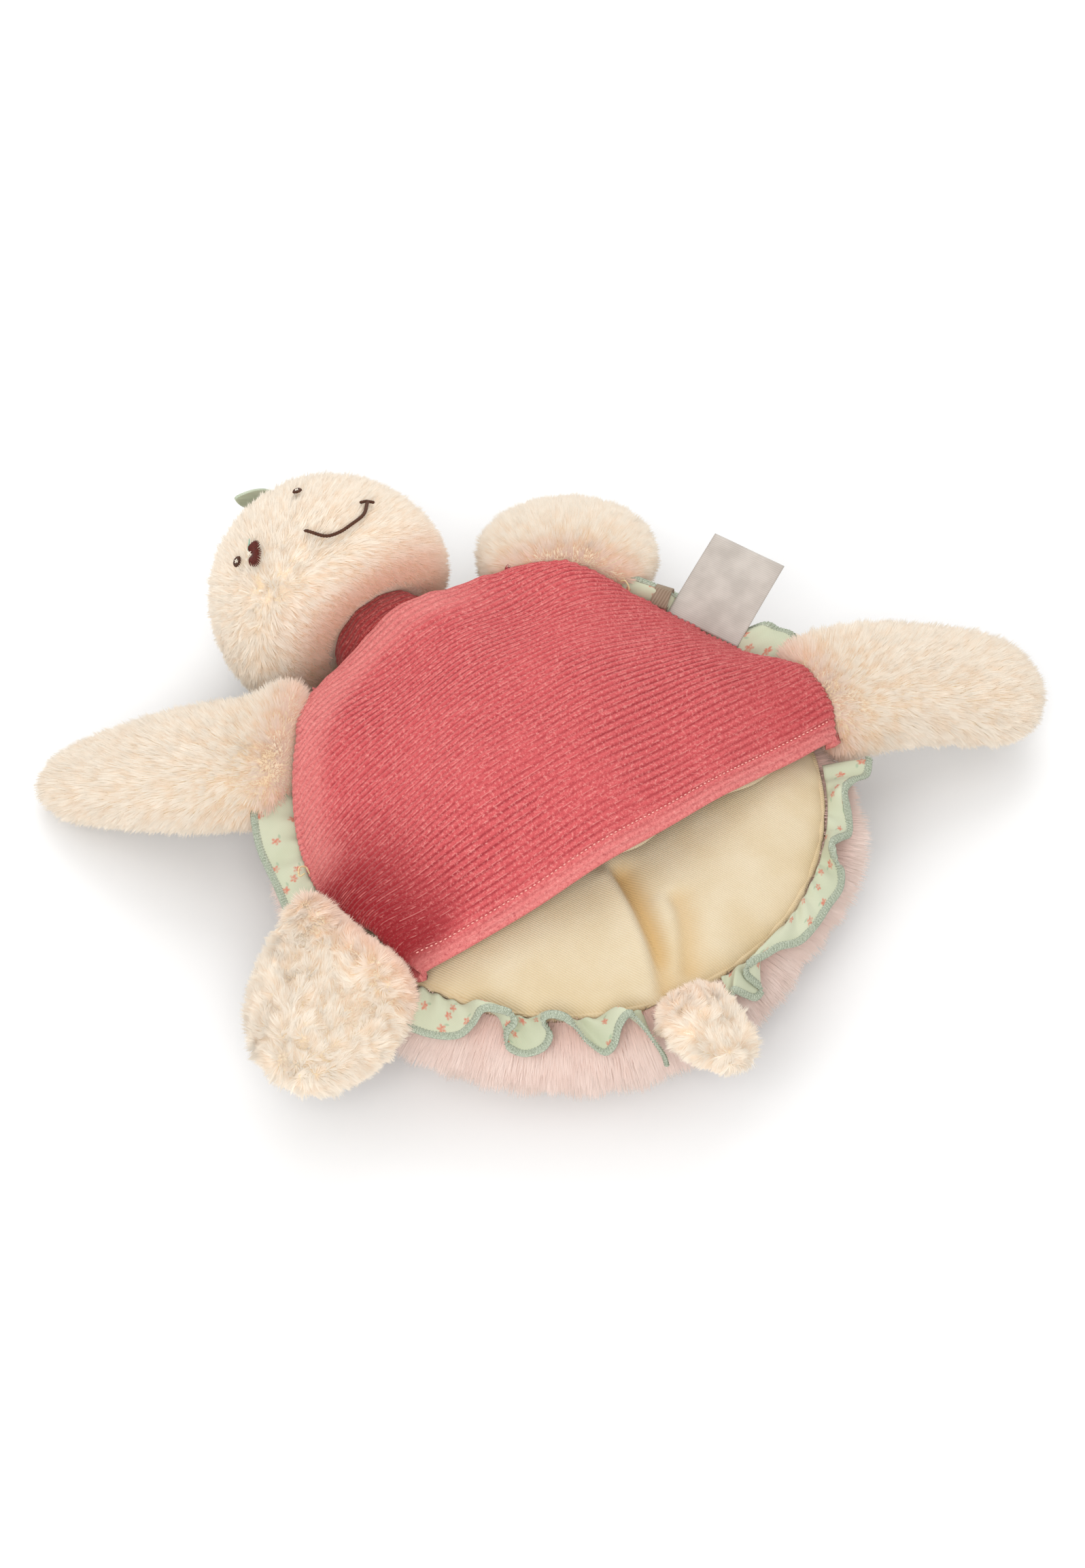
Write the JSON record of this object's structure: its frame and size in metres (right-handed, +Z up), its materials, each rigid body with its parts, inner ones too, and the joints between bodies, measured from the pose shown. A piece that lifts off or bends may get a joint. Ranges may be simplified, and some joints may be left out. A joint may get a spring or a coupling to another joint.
{
  "type": "turtle hand puppet",
  "caption": "Stuffed turtle hand puppet lying on its shell, with a lined hand pocket under a corduroy belly, a frilled seam, flapping limbs and a round head.",
  "frame": {"origin": "centre of the flat patch of shell that the puppet rests on, belly up", "axes": "+Y to the head, +Z up out of the belly, +X to the right as seen from above with the head away"},
  "size_m": [0.3705, 0.3392, 0.0974],
  "materials": {
    "shell_plush": "long pale pink pile fabric",
    "cream_plush": "short cream pile fabric",
    "corduroy": "coral pink corduroy, ribs across the belly",
    "lining_cotton": "cream cotton twill",
    "frill_cotton": "thin sage green cotton with small red flowers",
    "overlock_thread": "sage green overlock stitches",
    "brown_thread": "dark brown embroidery thread",
    "red_thread": "dark red embroidery thread",
    "green_thread": "pale green embroidery thread",
    "leaf_satin": "sage green satin",
    "label_satin": "plain woven white satin",
    "ribbon": "taupe twill ribbon",
    "fibre_filling": "white polyester fibre"
  },
  "bodies": {
    "body": {"shell_cover": "shell_plush", "shell_filling": "fibre_filling", "pocket_back_lining": "lining_cotton", "belly_panel": "corduroy", "belly_lining": "lining_cotton", "neck_collar": "corduroy", "neck_filling": "fibre_filling", "frill_left": "frill_cotton", "frill_left_overlock": "overlock_thread", "frill_right": "frill_cotton", "frill_right_overlock": "overlock_thread", "frill_rear_left": "frill_cotton", "frill_rear_left_overlock": "overlock_thread", "frill_rear_right": "frill_cotton", "frill_rear_right_overlock": "overlock_thread", "ribbon_loop": "ribbon"},
    "head": {"head_cover": "cream_plush", "head_filling": "fibre_filling", "head_leaf": "leaf_satin", "eye_left": "brown_thread", "eye_right": "brown_thread", "cheek_flower": "red_thread", "flower_stem": "green_thread", "smile": "brown_thread"},
    "front_left_flipper": {"front_left_flipper_cover": "cream_plush", "front_left_flipper_filling": "fibre_filling"},
    "front_right_flipper": {"front_right_flipper_cover": "cream_plush", "front_right_flipper_filling": "fibre_filling"},
    "hind_left_leg": {"hind_left_leg_cover": "cream_plush", "hind_left_leg_filling": "fibre_filling"},
    "hind_right_leg": {"hind_right_leg_cover": "cream_plush", "hind_right_leg_filling": "fibre_filling"},
    "tail": {"tail_cover": "cream_plush", "tail_filling": "fibre_filling"},
    "care_label": {"care_label": "label_satin"}
  },
  "joints": [
    {"name": "head_nod", "type": "hinge", "parent": "body", "child": "head", "pos_m": [-0.004, 0.107, 0.043], "axis": [1, 0, 0], "range_deg": [-10, 25], "stiffness_Nm_per_rad": 0.35},
    {"name": "front_left_flipper_flap", "type": "hinge", "parent": "body", "child": "front_left_flipper", "pos_m": [-0.07877, 0.08447, 0.05], "axis": [0.7314, 0.682, 0], "range_deg": [-10, 55], "stiffness_Nm_per_rad": 0.15},
    {"name": "front_right_flipper_flap", "type": "hinge", "parent": "body", "child": "front_right_flipper", "pos_m": [0.06951, 0.09224, 0.05], "axis": [0.7986, -0.6018, 0], "range_deg": [-8, 50], "stiffness_Nm_per_rad": 0.15},
    {"name": "hind_left_leg_flap", "type": "hinge", "parent": "body", "child": "hind_left_leg", "pos_m": [-0.11408, -0.01807, 0.05], "axis": [-0.1564, 0.9877, 0], "range_deg": [-10, 40], "stiffness_Nm_per_rad": 0.15},
    {"name": "hind_right_leg_flap", "type": "hinge", "parent": "body", "child": "hind_right_leg", "pos_m": [0.11438, -0.01607, 0.05], "axis": [-0.1392, -0.9903, 0], "range_deg": [-10, 50], "stiffness_Nm_per_rad": 0.15},
    {"name": "tail_flap", "type": "hinge", "parent": "body", "child": "tail", "pos_m": [-0.0191, -0.10833, 0.055], "axis": [-0.9848, 0.1736, 0], "range_deg": [-12, 40], "stiffness_Nm_per_rad": 0.03},
    {"name": "label_flap", "type": "hinge", "parent": "body", "child": "care_label", "pos_m": [0.0962, 0.03789, 0.05205], "axis": [0.3665, -0.9304, 0], "range_deg": [-6, 60], "stiffness_Nm_per_rad": 0.004}
  ]
}
